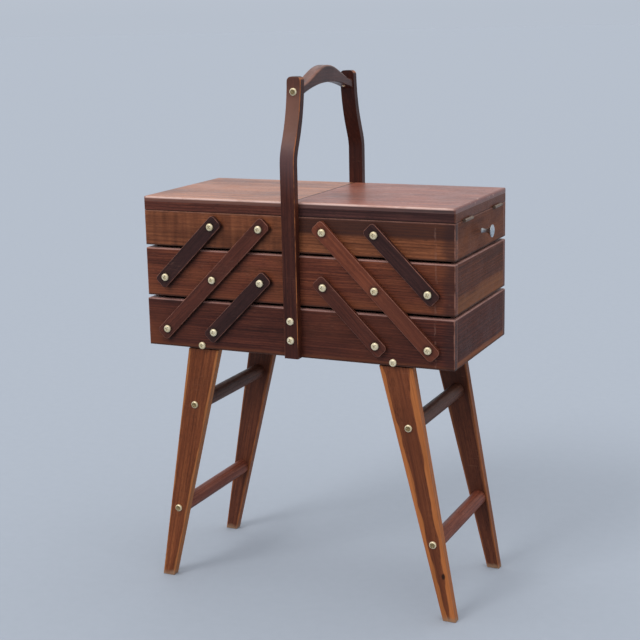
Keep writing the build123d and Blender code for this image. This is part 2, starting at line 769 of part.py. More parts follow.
long_pivots = [(px[0], pz[0]), (px[1], pz[1]), (px[2], pz[2])]
lower_short_pivots = [(px[1], pz[0]), (px[2], pz[1])]
upper_short_pivots = [(px[0], pz[1]), (px[1], pz[2])]

right_long_arms_blank = arm(long_pivots)
with BuildPart() as right_long_arms:
    add(right_long_arms_blank)
    mirror(about=Plane.XZ)

right_lower_short_arms_blank = arm(lower_short_pivots)
with BuildPart() as right_lower_short_arms:
    add(right_lower_short_arms_blank)
    mirror(about=Plane.XZ)

right_upper_short_arms_blank = arm(upper_short_pivots)
with BuildPart() as right_upper_short_arms:
    add(right_upper_short_arms_blank)
    mirror(about=Plane.XZ)

with BuildPart() as left_long_arms:
    mirror(right_long_arms.part, about=Plane.YZ)

with BuildPart() as left_lower_short_arms:
    mirror(right_lower_short_arms.part, about=Plane.YZ)

with BuildPart() as left_upper_short_arms:
    mirror(right_upper_short_arms.part, about=Plane.YZ)

# ---------------------------------------------------------------------------
# Screws
# ---------------------------------------------------------------------------
arm_screw = pan_screw(arm_screw_length)
handle_screw = pan_screw(handle_screw_length)
handle_top_screw = pan_screw(handle_top_screw_length)
leg_screw = pan_screw(leg_screw_length)
tongue_screw = pan_screw(tongue_screw_length)


def pivot_places(pivots, turn):
    places = []
    for i, (x, z) in enumerate(pivots):
        places.append(front_screw(x, z, screw_seat, turn + 37 * i))
        places.append(back_screw(x, z, screw_seat, turn + 11 + 53 * i))
    return places


with BuildPart() as box_arm_screws:
    with Locations(*pivot_places(base_pivots, 12), *pivot_places([(-x, z) for x, z in base_pivots], 64)):
        add(arm_screw)

with BuildPart() as right_mid_tray_screws:
    with Locations(*pivot_places(mid_pivots, 24)):
        add(arm_screw)

with BuildPart() as left_mid_tray_screws:
    with Locations(*pivot_places([(-x, z) for x, z in mid_pivots], 71)):
        add(arm_screw)

with BuildPart() as right_top_tray_screws:
    with Locations(*pivot_places(top_pivots, 5)):
        add(arm_screw)

with BuildPart() as left_top_tray_screws:
    with Locations(*pivot_places([(-x, z) for x, z in top_pivots], 48)):
        add(arm_screw)

handle_seat = box_y + upright_thickness
with BuildPart() as handle_screws:
    with Locations(
        front_screw(0, handle_screw_z[0], handle_seat, 20),
        front_screw(0, handle_screw_z[1], handle_seat, 66),
        back_screw(0, handle_screw_z[0], handle_seat, 8),
        back_screw(0, handle_screw_z[1], handle_seat, 31),
    ):
        add(handle_screw)
    with Locations(
        front_screw(0, z_box + handle_screw_top, seat_top, 40),
        back_screw(0, z_box + handle_screw_top, seat_top, 15),
    ):
        add(handle_top_screw)

leg_screw_points = [
    (s * x, z)
    for s in (-1, 1)
    for x, z in ((leg_x_upper_screw, leg_z_upper_screw), (leg_x_lower_screw, leg_z_lower_screw))
]
with BuildPart() as leg_screws:
    with Locations(
        *[front_screw(x, z, leg_face, 13 + 29 * i) for i, (x, z) in enumerate(leg_screw_points)],
        *[back_screw(x, z, leg_face, 41 + 17 * i) for i, (x, z) in enumerate(leg_screw_points)],
    ):
        add(leg_screw)
    with Locations(
        *[front_screw(s * tongue_screw_x, leg_z_tongue_screw, box_y, 30 + 20 * s) for s in (-1, 1)],
        *[back_screw(s * tongue_screw_x, leg_z_tongue_screw, box_y, 52 + 12 * s) for s in (-1, 1)],
    ):
        add(tongue_screw)

# ---------------------------------------------------------------------------
# Left-hand trays, lid and hinges: the same pieces the other way round
# ---------------------------------------------------------------------------
with BuildPart() as left_mid_tray_front_board:
    mirror(right_mid_tray_front_board.part, about=Plane.YZ)

with BuildPart() as left_mid_tray_back_board:
    mirror(right_mid_tray_back_board.part, about=Plane.YZ)

with BuildPart() as left_mid_tray_outer_board:
    mirror(right_mid_tray_outer_board.part, about=Plane.YZ)

with BuildPart() as left_mid_tray_inner_board:
    mirror(right_mid_tray_inner_board.part, about=Plane.YZ)

with BuildPart() as left_mid_tray_bottom_panel:
    mirror(right_mid_tray_bottom_panel.part, about=Plane.YZ)

with BuildPart() as left_top_tray_front_board:
    mirror(right_top_tray_front_board.part, about=Plane.YZ)

with BuildPart() as left_top_tray_back_board:
    mirror(right_top_tray_back_board.part, about=Plane.YZ)

with BuildPart() as left_top_tray_outer_board:
    mirror(right_top_tray_outer_board.part, about=Plane.YZ)

with BuildPart() as left_top_tray_inner_board:
    mirror(right_top_tray_inner_board.part, about=Plane.YZ)

with BuildPart() as left_top_tray_bottom_panel:
    mirror(right_top_tray_bottom_panel.part, about=Plane.YZ)

with BuildPart() as left_lid_panel:
    mirror(right_lid_panel.part, about=Plane.YZ)

with BuildPart() as left_lid_rim:
    mirror(right_lid_rim.part, about=Plane.YZ)

# ---------------------------------------------------------------------------
# One file for each piece
# ---------------------------------------------------------------------------
box_front_board.part.label = "box_front_board"
export_step(box_front_board.part, "parts/box_front_board.step")
box_back_board.part.label = "box_back_board"
export_step(box_back_board.part, "parts/box_back_board.step")
box_right_end_board.part.label = "box_right_end_board"
export_step(box_right_end_board.part, "parts/box_right_end_board.step")
box_left_end_board.part.label = "box_left_end_board"
export_step(box_left_end_board.part, "parts/box_left_end_board.step")
box_bottom_panel.part.label = "box_bottom_panel"
export_step(box_bottom_panel.part, "parts/box_bottom_panel.step")
front_right_leg.part.label = "front_right_leg"
export_step(front_right_leg.part, "parts/front_right_leg.step")
front_left_leg.part.label = "front_left_leg"
export_step(front_left_leg.part, "parts/front_left_leg.step")
back_right_leg.part.label = "back_right_leg"
export_step(back_right_leg.part, "parts/back_right_leg.step")
back_left_leg.part.label = "back_left_leg"
export_step(back_left_leg.part, "parts/back_left_leg.step")
right_upper_stretcher.part.label = "right_upper_stretcher"
export_step(right_upper_stretcher.part, "parts/right_upper_stretcher.step")
right_lower_stretcher.part.label = "right_lower_stretcher"
export_step(right_lower_stretcher.part, "parts/right_lower_stretcher.step")
left_upper_stretcher.part.label = "left_upper_stretcher"
export_step(left_upper_stretcher.part, "parts/left_upper_stretcher.step")
left_lower_stretcher.part.label = "left_lower_stretcher"
export_step(left_lower_stretcher.part, "parts/left_lower_stretcher.step")
handle_back_upright.part.label = "handle_back_upright"
export_step(handle_back_upright.part, "parts/handle_back_upright.step")
handle_front_upright.part.label = "handle_front_upright"
export_step(handle_front_upright.part, "parts/handle_front_upright.step")
handle_crossbar.part.label = "handle_crossbar"
export_step(handle_crossbar.part, "parts/handle_crossbar.step")
right_mid_tray_front_board.part.label = "right_mid_tray_front_board"
export_step(right_mid_tray_front_board.part, "parts/right_mid_tray_front_board.step")
right_mid_tray_back_board.part.label = "right_mid_tray_back_board"
export_step(right_mid_tray_back_board.part, "parts/right_mid_tray_back_board.step")
right_mid_tray_outer_board.part.label = "right_mid_tray_outer_board"
export_step(right_mid_tray_outer_board.part, "parts/right_mid_tray_outer_board.step")
right_mid_tray_inner_board.part.label = "right_mid_tray_inner_board"
export_step(right_mid_tray_inner_board.part, "parts/right_mid_tray_inner_board.step")
right_mid_tray_bottom_panel.part.label = "right_mid_tray_bottom_panel"
export_step(right_mid_tray_bottom_panel.part, "parts/right_mid_tray_bottom_panel.step")
right_top_tray_front_board.part.label = "right_top_tray_front_board"
export_step(right_top_tray_front_board.part, "parts/right_top_tray_front_board.step")
right_top_tray_back_board.part.label = "right_top_tray_back_board"
export_step(right_top_tray_back_board.part, "parts/right_top_tray_back_board.step")
right_top_tray_outer_board.part.label = "right_top_tray_outer_board"
export_step(right_top_tray_outer_board.part, "parts/right_top_tray_outer_board.step")
right_top_tray_inner_board.part.label = "right_top_tray_inner_board"
export_step(right_top_tray_inner_board.part, "parts/right_top_tray_inner_board.step")
right_top_tray_bottom_panel.part.label = "right_top_tray_bottom_panel"
export_step(right_top_tray_bottom_panel.part, "parts/right_top_tray_bottom_panel.step")
right_lid_panel.part.label = "right_lid_panel"
export_step(right_lid_panel.part, "parts/right_lid_panel.step")
right_lid_rim.part.label = "right_lid_rim"
export_step(right_lid_rim.part, "parts/right_lid_rim.step")
right_hinge_tray_leaves.part.label = "right_hinge_tray_leaves"
export_step(right_hinge_tray_leaves.part, "parts/right_hinge_tray_leaves.step")
right_hinge_lid_leaves.part.label = "right_hinge_lid_leaves"
export_step(right_hinge_lid_leaves.part, "parts/right_hinge_lid_leaves.step")
left_hinge_tray_leaves.part.label = "left_hinge_tray_leaves"
export_step(left_hinge_tray_leaves.part, "parts/left_hinge_tray_leaves.step")
left_hinge_lid_leaves.part.label = "left_hinge_lid_leaves"
export_step(left_hinge_lid_leaves.part, "parts/left_hinge_lid_leaves.step")
right_knob.part.label = "right_knob"
export_step(right_knob.part, "parts/right_knob.step")
left_knob.part.label = "left_knob"
export_step(left_knob.part, "parts/left_knob.step")
right_long_arms.part.label = "right_long_arms"
export_step(right_long_arms.part, "parts/right_long_arms.step")
right_lower_short_arms.part.label = "right_lower_short_arms"
export_step(right_lower_short_arms.part, "parts/right_lower_short_arms.step")
right_upper_short_arms.part.label = "right_upper_short_arms"
export_step(right_upper_short_arms.part, "parts/right_upper_short_arms.step")
left_long_arms.part.label = "left_long_arms"
export_step(left_long_arms.part, "parts/left_long_arms.step")
left_lower_short_arms.part.label = "left_lower_short_arms"
export_step(left_lower_short_arms.part, "parts/left_lower_short_arms.step")
left_upper_short_arms.part.label = "left_upper_short_arms"
export_step(left_upper_short_arms.part, "parts/left_upper_short_arms.step")
box_arm_screws.part.label = "box_arm_screws"
export_step(box_arm_screws.part, "parts/box_arm_screws.step")
right_mid_tray_screws.part.label = "right_mid_tray_screws"
export_step(right_mid_tray_screws.part, "parts/right_mid_tray_screws.step")
left_mid_tray_screws.part.label = "left_mid_tray_screws"
export_step(left_mid_tray_screws.part, "parts/left_mid_tray_screws.step")
right_top_tray_screws.part.label = "right_top_tray_screws"
export_step(right_top_tray_screws.part, "parts/right_top_tray_screws.step")
left_top_tray_screws.part.label = "left_top_tray_screws"
export_step(left_top_tray_screws.part, "parts/left_top_tray_screws.step")
handle_screws.part.label = "handle_screws"
export_step(handle_screws.part, "parts/handle_screws.step")
leg_screws.part.label = "leg_screws"
export_step(leg_screws.part, "parts/leg_screws.step")
left_mid_tray_front_board.part.label = "left_mid_tray_front_board"
export_step(left_mid_tray_front_board.part, "parts/left_mid_tray_front_board.step")
left_mid_tray_back_board.part.label = "left_mid_tray_back_board"
export_step(left_mid_tray_back_board.part, "parts/left_mid_tray_back_board.step")
left_mid_tray_outer_board.part.label = "left_mid_tray_outer_board"
export_step(left_mid_tray_outer_board.part, "parts/left_mid_tray_outer_board.step")
left_mid_tray_inner_board.part.label = "left_mid_tray_inner_board"
export_step(left_mid_tray_inner_board.part, "parts/left_mid_tray_inner_board.step")
left_mid_tray_bottom_panel.part.label = "left_mid_tray_bottom_panel"
export_step(left_mid_tray_bottom_panel.part, "parts/left_mid_tray_bottom_panel.step")
left_top_tray_front_board.part.label = "left_top_tray_front_board"
export_step(left_top_tray_front_board.part, "parts/left_top_tray_front_board.step")
left_top_tray_back_board.part.label = "left_top_tray_back_board"
export_step(left_top_tray_back_board.part, "parts/left_top_tray_back_board.step")
left_top_tray_outer_board.part.label = "left_top_tray_outer_board"
export_step(left_top_tray_outer_board.part, "parts/left_top_tray_outer_board.step")
left_top_tray_inner_board.part.label = "left_top_tray_inner_board"
export_step(left_top_tray_inner_board.part, "parts/left_top_tray_inner_board.step")
left_top_tray_bottom_panel.part.label = "left_top_tray_bottom_panel"
export_step(left_top_tray_bottom_panel.part, "parts/left_top_tray_bottom_panel.step")
left_lid_panel.part.label = "left_lid_panel"
export_step(left_lid_panel.part, "parts/left_lid_panel.step")
left_lid_rim.part.label = "left_lid_rim"
export_step(left_lid_rim.part, "parts/left_lid_rim.step")
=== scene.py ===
import bpy
import math
from mathutils import Matrix, Vector


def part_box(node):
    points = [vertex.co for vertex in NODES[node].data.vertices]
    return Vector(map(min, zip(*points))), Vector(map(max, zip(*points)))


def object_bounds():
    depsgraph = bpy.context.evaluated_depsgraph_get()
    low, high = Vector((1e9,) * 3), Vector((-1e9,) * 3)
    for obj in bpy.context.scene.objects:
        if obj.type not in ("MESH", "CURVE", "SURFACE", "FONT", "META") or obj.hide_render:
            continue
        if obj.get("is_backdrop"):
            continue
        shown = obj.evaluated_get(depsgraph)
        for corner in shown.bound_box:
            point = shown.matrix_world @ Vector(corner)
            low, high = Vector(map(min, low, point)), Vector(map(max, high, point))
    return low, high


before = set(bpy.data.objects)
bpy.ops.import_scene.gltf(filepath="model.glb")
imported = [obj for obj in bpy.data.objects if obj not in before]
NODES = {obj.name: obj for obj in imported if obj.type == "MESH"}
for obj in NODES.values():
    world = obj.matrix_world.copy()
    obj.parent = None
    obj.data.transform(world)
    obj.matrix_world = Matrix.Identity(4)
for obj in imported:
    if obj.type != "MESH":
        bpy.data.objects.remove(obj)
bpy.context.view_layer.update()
scene = bpy.context.scene
scene.view_settings.view_transform = "Standard"
scene.view_settings.look = "None"


# ---------------------------------------------------------------------------
# Small helpers for node materials
# ---------------------------------------------------------------------------
def lin(r, g, b):
    """Colour given as 0-255 display values, as linear light."""
    out = []
    for c in (r, g, b):
        c /= 255
        out.append(c / 12.92 if c <= 0.04045 else ((c + 0.055) / 1.055) ** 2.4)
    return (*out, 1.0)


class Mat:
    """A node material with short names for the nodes it uses."""

    def __init__(self, name):
        self.m = bpy.data.materials.new(name)
        self.m.use_nodes = True
        self.t = self.m.node_tree
        self.t.nodes.clear()
        self.out = self.t.nodes.new("ShaderNodeOutputMaterial")
        self.bsdf = self.t.nodes.new("ShaderNodeBsdfPrincipled")
        self.t.links.new(self.bsdf.outputs[0], self.out.inputs[0])
        self.coord = self.t.nodes.new("ShaderNodeTexCoord").outputs["Object"]

    def put(self, socket, value):
        if isinstance(value, bpy.types.NodeSocket):
            self.t.links.new(value, socket)
        elif value is not None:
            socket.default_value = value

    def math(self, op, a, b=None, c=None, clamp=False):
        n = self.t.nodes.new("ShaderNodeMath")
        n.operation = op
        n.use_clamp = clamp
        for i, v in enumerate((a, b, c)):
            if v is not None:
                self.put(n.inputs[i], v)
        return n.outputs[0]

    def add(self, a, b):
        return self.math("ADD", a, b)

    def sub(self, a, b):
        return self.math("SUBTRACT", a, b)

    def mul(self, a, b):
        return self.math("MULTIPLY", a, b)

    def vmath(self, op, a, b=None):
        n = self.t.nodes.new("ShaderNodeVectorMath")
        n.operation = op
        self.put(n.inputs[0], a)
        if b is not None:
            self.put(n.inputs[1], b)
        return n.outputs["Value"] if op in ("LENGTH", "DOT_PRODUCT", "DISTANCE") else n.outputs[0]

    def split(self, v):
        n = self.t.nodes.new("ShaderNodeSeparateXYZ")
        self.put(n.inputs[0], v)
        return n.outputs[0], n.outputs[1], n.outputs[2]

    def join(self, x, y, z):
        n = self.t.nodes.new("ShaderNodeCombineXYZ")
        for i, v in enumerate((x, y, z)):
            self.put(n.inputs[i], v)
        return n.outputs[0]

    def mapping(self, v, loc=(0, 0, 0), rot=(0, 0, 0), scale=(1, 1, 1)):
        n = self.t.nodes.new("ShaderNodeMapping")
        self.put(n.inputs[0], v)
        n.inputs["Location"].default_value = loc
        n.inputs["Rotation"].default_value = rot
        n.inputs["Scale"].default_value = scale
        return n.outputs[0]

    def noise(self, v, scale=1.0, detail=3.0, rough=0.55, distort=0.0):
        n = self.t.nodes.new("ShaderNodeTexNoise")
        self.put(n.inputs["Vector"], v)
        n.inputs["Scale"].default_value = scale
        n.inputs["Detail"].default_value = detail
        n.inputs["Roughness"].default_value = rough
        n.inputs["Distortion"].default_value = distort
        return n.outputs["Fac"]

    def voronoi(self, v, scale=1.0, feature="F1", randomness=1.0):
        n = self.t.nodes.new("ShaderNodeTexVoronoi")
        n.feature = feature
        self.put(n.inputs["Vector"], v)
        n.inputs["Scale"].default_value = scale
        n.inputs["Randomness"].default_value = randomness
        return n.outputs["Distance"]

    def range(self, v, a, b, lo=0.0, hi=1.0, smooth=True):
        n = self.t.nodes.new("ShaderNodeMapRange")
        n.interpolation_type = "SMOOTHSTEP" if smooth else "LINEAR"
        n.clamp = True
        for i, w in enumerate((v, a, b, lo, hi)):
            self.put(n.inputs[i], w)
        return n.outputs[0]

    def mix(self, fac, a, b, blend="MIX"):
        n = self.t.nodes.new("ShaderNodeMix")
        n.data_type = "RGBA"
        n.blend_type = blend
        n.clamp_factor = True
        self.put(n.inputs[0], fac)
        self.put(n.inputs[6], a)
        self.put(n.inputs[7], b)
        return n.outputs[2]

    def ramp(self, fac, stops):
        n = self.t.nodes.new("ShaderNodeValToRGB")
        cr = n.color_ramp
        while len(cr.elements) < len(stops):
            cr.elements.new(0.5)
        for e, (pos, col) in zip(cr.elements, stops):
            e.position = pos
            e.color = col
        self.put(n.inputs[0], fac)
        return n.outputs[0]

    def bump(self, height, distance, strength=1.0, normal=None):
        n = self.t.nodes.new("ShaderNodeBump")
        n.inputs["Strength"].default_value = strength
        n.inputs["Distance"].default_value = distance
        self.put(n.inputs["Height"], height)
        if normal is not None:
            self.put(n.inputs["Normal"], normal)
        return n.outputs[0]


def box_edge(M, co, lo, hi, skip=()):
    """Distance in metres to the nearest edge of an axis-aligned box, on its surface.
    skip names faces that are glued to a neighbour, such as "-y", so no edge there."""
    ds = []
    for i, a in enumerate(co):
        up = M.sub(hi[i], a) if "+" + "xyz"[i] not in skip else None
        dn = M.sub(a, lo[i]) if "-" + "xyz"[i] not in skip else None
        if up is None and dn is None:
            ds.append(None)
        elif up is None:
            ds.append(dn)
        elif dn is None:
            ds.append(up)
        else:
            ds.append(M.math("MINIMUM", up, dn))
    known = [d for d in ds if d is not None]
    if len(known) == 2:
        return M.math("MAXIMUM", known[0], known[1])
    a, b, c = known
    return M.math("MAXIMUM", M.math("MINIMUM", a, b), M.math("MINIMUM", M.math("MAXIMUM", a, b), c))


GRAIN = {
    "x": (0, 0, 0),
    "y": (0, 0, -math.pi / 2),
    "z": (0, math.pi / 2, 0),
}


def wood(
    name,
    dark,
    mid,
    light,
    grain="x",
    rot=None,
    seed=0.0,
    pith=(0.05, 0.09),
    ring=0.0042,
    ring_amount=0.35,
    streak=0.5,
    pore=0.5,
    figure=0.0,
    blotch=None,
    blotch_amount=0.0,
    rough=(0.36, 0.52),
    bump=0.00012,
    coat=0.0,
    specular=0.16,
):
    """Stained solid wood. Rings round a pith line, long fibre streaks, short open pores, slow
    changes of tone. Returns the material, its colour so far and useful fields."""
    M = Mat(name)
    sx, sy, sz = seed * 1.37 + 0.31, seed * 0.71 + 0.17, seed * 0.53 + 0.07
    g = M.mapping(M.coord, rot=rot if rot is not None else GRAIN[grain])
    g = M.mapping(g, loc=(sx, sy * 0.013, sz * 0.011))
    u, v, w = M.split(g)
    # slow bends of the grain
    bend = M.noise(M.mapping(g, scale=(3.2, 11, 11)), 1.0, 2.0, 0.5)
    bend2 = M.noise(M.mapping(g, loc=(4.1, 2.2, 0.7), scale=(9, 30, 30)), 1.0, 2.0, 0.5)
    wav = M.add(M.mul(M.sub(bend, 0.5), 0.016), M.mul(M.sub(bend2, 0.5), 0.004))
    v2 = M.add(v, wav)
    w2 = M.sub(w, M.mul(wav, 0.7))
    # annual rings
    rv = M.add(v2, pith[0])
    rw = M.add(w2, pith[1])
    r = M.math("SQRT", M.add(M.mul(rv, rv), M.mul(rw, rw)))
    wide = M.noise(M.join(M.mul(r, 60.0), M.mul(u, 1.3), seed), 1.0, 2.0, 0.5)
    phase = M.add(M.math("DIVIDE", r, ring), M.mul(wide, 2.0))
    fr = M.math("FRACT", phase)
    late = M.math("POWER", fr, 2.2)
    late = M.mul(late, M.range(fr, 1.0, 0.86, 0.0, 1.0))
    # fibre streaks at two sizes
    st1 = M.noise(M.mapping(M.join(u, v2, w2), scale=(8.5, 400, 400)), 1.0, 4.0, 0.62)
    st2 = M.noise(M.mapping(M.join(u, v2, w2), loc=(1.7, 0.3, 0.9), scale=(26, 1300, 1300)), 1.0, 2.0, 0.6)
    st3 = M.noise(M.mapping(M.join(u, v2, w2), loc=(0.4, 5.3, 2.9), scale=(3.4, 120, 120)), 1.0, 2.0, 0.5)
    fibre = M.add(
        M.mul(M.sub(st1, 0.5), 1.15),
        M.add(M.mul(M.sub(st2, 0.5), 0.55), M.mul(M.sub(st3, 0.5), 0.65)),
    )
    # open pores: short dark dashes, thicker in the early wood
    pcell = M.voronoi(M.mapping(M.join(u, v2, w2), loc=(0.9, 1.1, 3.3), scale=(105, 1350, 1350)), 1.0)
    pores = M.range(pcell, 0.20, 0.42, 1.0, 0.0)
    pores = M.mul(pores, M.range(fr, 0.25, 0.75, 1.0, 0.35))
    tone = M.add(0.5, M.mul(fibre, streak))
    tone = M.sub(tone, M.mul(M.sub(late, 0.25), ring_amount))
    if figure:
        # cross figure: soft bars across the grain
        fig = M.noise(M.mapping(M.join(u, v2, w2), loc=(2.3, 0.2, 0.4), scale=(95, 7, 7)), 1.0, 2.0, 0.45)
        tone = M.add(tone, M.mul(M.sub(fig, 0.5), figure))
    col = M.ramp(tone, [(0.12, dark), (0.5, mid), (0.88, light)])
    big = M.noise(M.mapping(g, loc=(7.7, 3.1, 5.2), scale=(7, 16, 16)), 1.0, 3.0, 0.55)
    if blotch is not None:
        col = M.mix(M.mul(M.range(big, 0.42, 0.68), blotch_amount), col, blotch)
    # slow changes of lightness
    shade = M.range(M.noise(M.mapping(g, loc=(1.2, 9.1, 4.4), scale=(5, 22, 22)), 1.0, 3.0, 0.6), 0.3, 0.7, 0.80, 1.18, False)
    col = M.mix(1.0, col, M.join(shade, shade, shade), "MULTIPLY")
    col = M.mix(M.mul(pores, pore), col, tuple(c * 0.32 for c in dark[:3]) + (1.0,))
    M.u, M.v, M.w, M.r, M.fr = u, v2, w2, r, fr
    M.col, M.pores, M.late, M.big, M.fibre, M.tone = col, pores, late, big, fibre, tone
    M.rough = rough
    M.bump_d = bump
    M.x, M.y, M.z = M.split(M.coord)
    M.coat = coat
    M.specular = specular
    M.seed = seed
    return M


def wear(M, d, width, amount, color, breakup=0.5, scale=70.0):
    """Worn lighter edge from a distance field."""
    n = M.noise(M.mapping(M.coord, loc=(M.seed, 2.0, 1.0), scale=(scale, scale, scale)), 1.0, 4.0, 0.65)
    ww = M.mul(width, M.range(n, 0.3, 0.75, 1.0 - breakup, 1.0 + breakup, False))
    k = M.range(d, ww, M.mul(ww, 0.35), 0.0, 1.0)
    k = M.mul(k, M.mul(amount, M.range(n, 0.30, 0.62, 1.0 - breakup, 1.0)))
    M.col = M.mix(k, M.col, color)
    return k


def rounded(M, axis, lo=0.25, hi=0.85):
    """1 where the surface turns between the given axis and the plane across it."""
    n = M.split(M.t.nodes.new("ShaderNodeNewGeometry").outputs["Normal"])["xyz".index(axis)]
    n2 = M.mul(n, n)
    return M.range(M.mul(4.0, M.mul(n2, M.sub(1.0, n2))), lo, hi)


def finish_wood(M, smudge=0.5):
    """Roughness, small dents and scratches, bump, and the shader."""
    n = M.noise(M.mapping(M.coord, loc=(3.0 + M.seed, 1.0, 2.0), scale=(26, 26, 26)), 1.0, 4.0, 0.6)
    f = M.noise(M.mapping(M.coord, loc=(8.0, 1.0 + M.seed, 2.0), scale=(160, 160, 160)), 1.0, 3.0, 0.6)
    ro = M.range(M.add(M.mul(n, 0.7), M.mul(f, 0.3)), 0.3, 0.72, M.rough[0], M.rough[1], False)
    ro = M.add(ro, M.mul(M.pores, 0.18))
    # fine handling scratches
    sc = M.voronoi(M.mapping(M.coord, rot=(0.3, 0.5, 0.6), loc=(0.3, M.seed, 0.1), scale=(14, 420, 420)), 1.0, "DISTANCE_TO_EDGE")
    scr = M.mul(M.range(sc, 0.0, 0.035, 1.0, 0.0), M.range(n, 0.50, 0.66, 0.0, smudge))
    ro = M.math("ADD", ro, M.mul(scr, 0.12), clamp=True)
    col = M.mix(M.mul(scr, 0.20), M.col, lin(176, 128, 104))
    M.put(M.bsdf.inputs["Base Color"], col)
    M.put(M.bsdf.inputs["Roughness"], ro)
    h = M.sub(M.mul(M.fibre, 0.35), M.mul(M.pores, 0.9))
    h = M.sub(h, M.mul(M.late, -0.12))
    h = M.sub(h, M.mul(scr, 0.30))
    nrm = M.bump(h, M.bump_d, 0.9)
    dents = M.noise(M.mapping(M.coord, loc=(1.0, 7.0, M.seed), scale=(34, 34, 34)), 1.0, 2.0, 0.5)
    nrm = M.bump(dents, 0.0009, 0.35, nrm)
    M.put(M.bsdf.inputs["Normal"], nrm)
    M.bsdf.inputs["Specular IOR Level"].default_value = M.specular
    M.bsdf.inputs["Coat Weight"].default_value = M.coat
    M.bsdf.inputs["Coat Roughness"].default_value = 0.28
    return M.m


def matt(M, amount):
    M.specular = amount
    return M


def dress(node, material):
    mesh = NODES[node].data
    mesh.materials.clear()
    mesh.materials.append(material)


# ---------------------------------------------------------------------------
# Colours of the wood
# ---------------------------------------------------------------------------
RED_DARK = (lin(34, 15, 11), lin(71, 33, 25), lin(108, 56, 40))
RED_MID = (lin(46, 21, 15), lin(97, 48, 34), lin(142, 78, 51))
BROWN = (lin(70, 36, 21), lin(124, 71, 45), lin(164, 100, 64))
PURPLE = (lin(34, 19, 18), lin(62, 35, 33), lin(92, 55, 47))
ARM_RED = (lin(44, 21, 16), lin(82, 42, 32), lin(116, 62, 44))
ARM_WARM = (lin(58, 27, 19), lin(114, 59, 41), lin(154, 87, 57))
ARM_DARK = (lin(30, 16, 15), lin(55, 31, 29), lin(84, 50, 43))
RIM_LEFT = (lin(48, 22, 17), lin(88, 45, 35), lin(122, 68, 50))
LID = (lin(90, 42, 32), lin(150, 84, 66), lin(196, 128, 102))
LID_LEFT = (lin(104, 56, 36), lin(166, 102, 70), lin(208, 146, 108))
EDGE_PINK = lin(176, 124, 106)
EDGE_ORANGE = lin(176, 106, 62)

# ---------------------------------------------------------------------------
# Boards of the box and trays
# ---------------------------------------------------------------------------
seed = [0.0]


def next_seed():
    seed[0] += 1.0
    return seed[0]


def board_material(node, pal, grain, skip=(), edge_w=0.0016, edge_amt=0.55, edge_col=EDGE_PINK, after=None,
                   arris=(lin(168, 126, 116), 0.9), **kw):
    M = wood(node + "_wood", *pal, grain=grain, seed=next_seed(), **kw)
    lo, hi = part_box(node)
    d = box_edge(M, (M.x, M.y, M.z), lo, hi, skip)
    if "end_board" in node or "outer_board" in node:
        matt(M, 0.08)
    if after:
        after(M, lo, hi, d)
    wear(M, d, edge_w, edge_amt, edge_col)
    if "board" in node and "inner" not in node and edge_amt > 0:
        # upper arris painted paler: a painted highlight, with some rubbed polish
        n = M.noise(M.mapping(M.coord, loc=(0.3, M.seed, 0.9), scale=(24, 24, 200)), 1.0, 3.0, 0.6)
        k = M.range(M.z, hi.z - 0.0023, hi.z - 0.0011)
        M.col = M.mix(M.mul(k, M.range(n, 0.3, 0.6, 0.45 * arris[1], arris[1])), M.col, arris[0])
        # painted shade along the lower edge, where the joint below lies in shadow
        k = M.range(M.z, lo.z + 0.0034, lo.z + 0.0008, 0.0, 0.75)
        M.col = M.mix(k, M.col, lin(26, 13, 10))
    dress(node, finish_wood(M))


def strip(axis, at, soft, color, amount, above=False, wobble=0.0015):
    """A zone of another tone beyond a wavy line, as from a lighter streak in the board."""

    def go(M, lo, hi, d):
        p = (M.x, M.y, M.z)["xyz".index(axis)]
        n = M.noise(M.mapping(M.coord, loc=(M.seed, 0.3, 5.0), scale=(16, 16, 16)), 1.0, 3.0, 0.5)
        line = M.add(at, M.mul(M.sub(n, 0.5), wobble * 2))
        k = M.range(M.sub(p, line), -soft, soft) if above else M.range(M.sub(line, p), -soft, soft)
        k = M.mul(k, M.range(M.tone, 0.15, 0.65, 0.55, 1.0))
        M.col = M.mix(M.mul(k, amount), M.col, color)

    return go


def several(*steps):
    def go(M, lo, hi, d):
        for s in steps:
            s(M, lo, hi, d)

    return go


def under_gap(at, depth, amount=0.5):
    """Painted shade darkening towards a joint line at level at."""

    def go(M, lo, hi, d):
        k = M.range(M.math("ABSOLUTE", M.sub(M.z, at)), depth, 0.0, 0.0, amount)
        M.col = M.mix(k, M.col, lin(26, 16, 15))

    return go


def outer_face(M, lo, hi):
    """1 on the outer face of a front or back board, 0 inside the tray."""
    far = max(abs(lo.y), abs(hi.y))
    return M.range(M.math("ABSOLUTE", M.y), far - 0.0030, far - 0.0010)


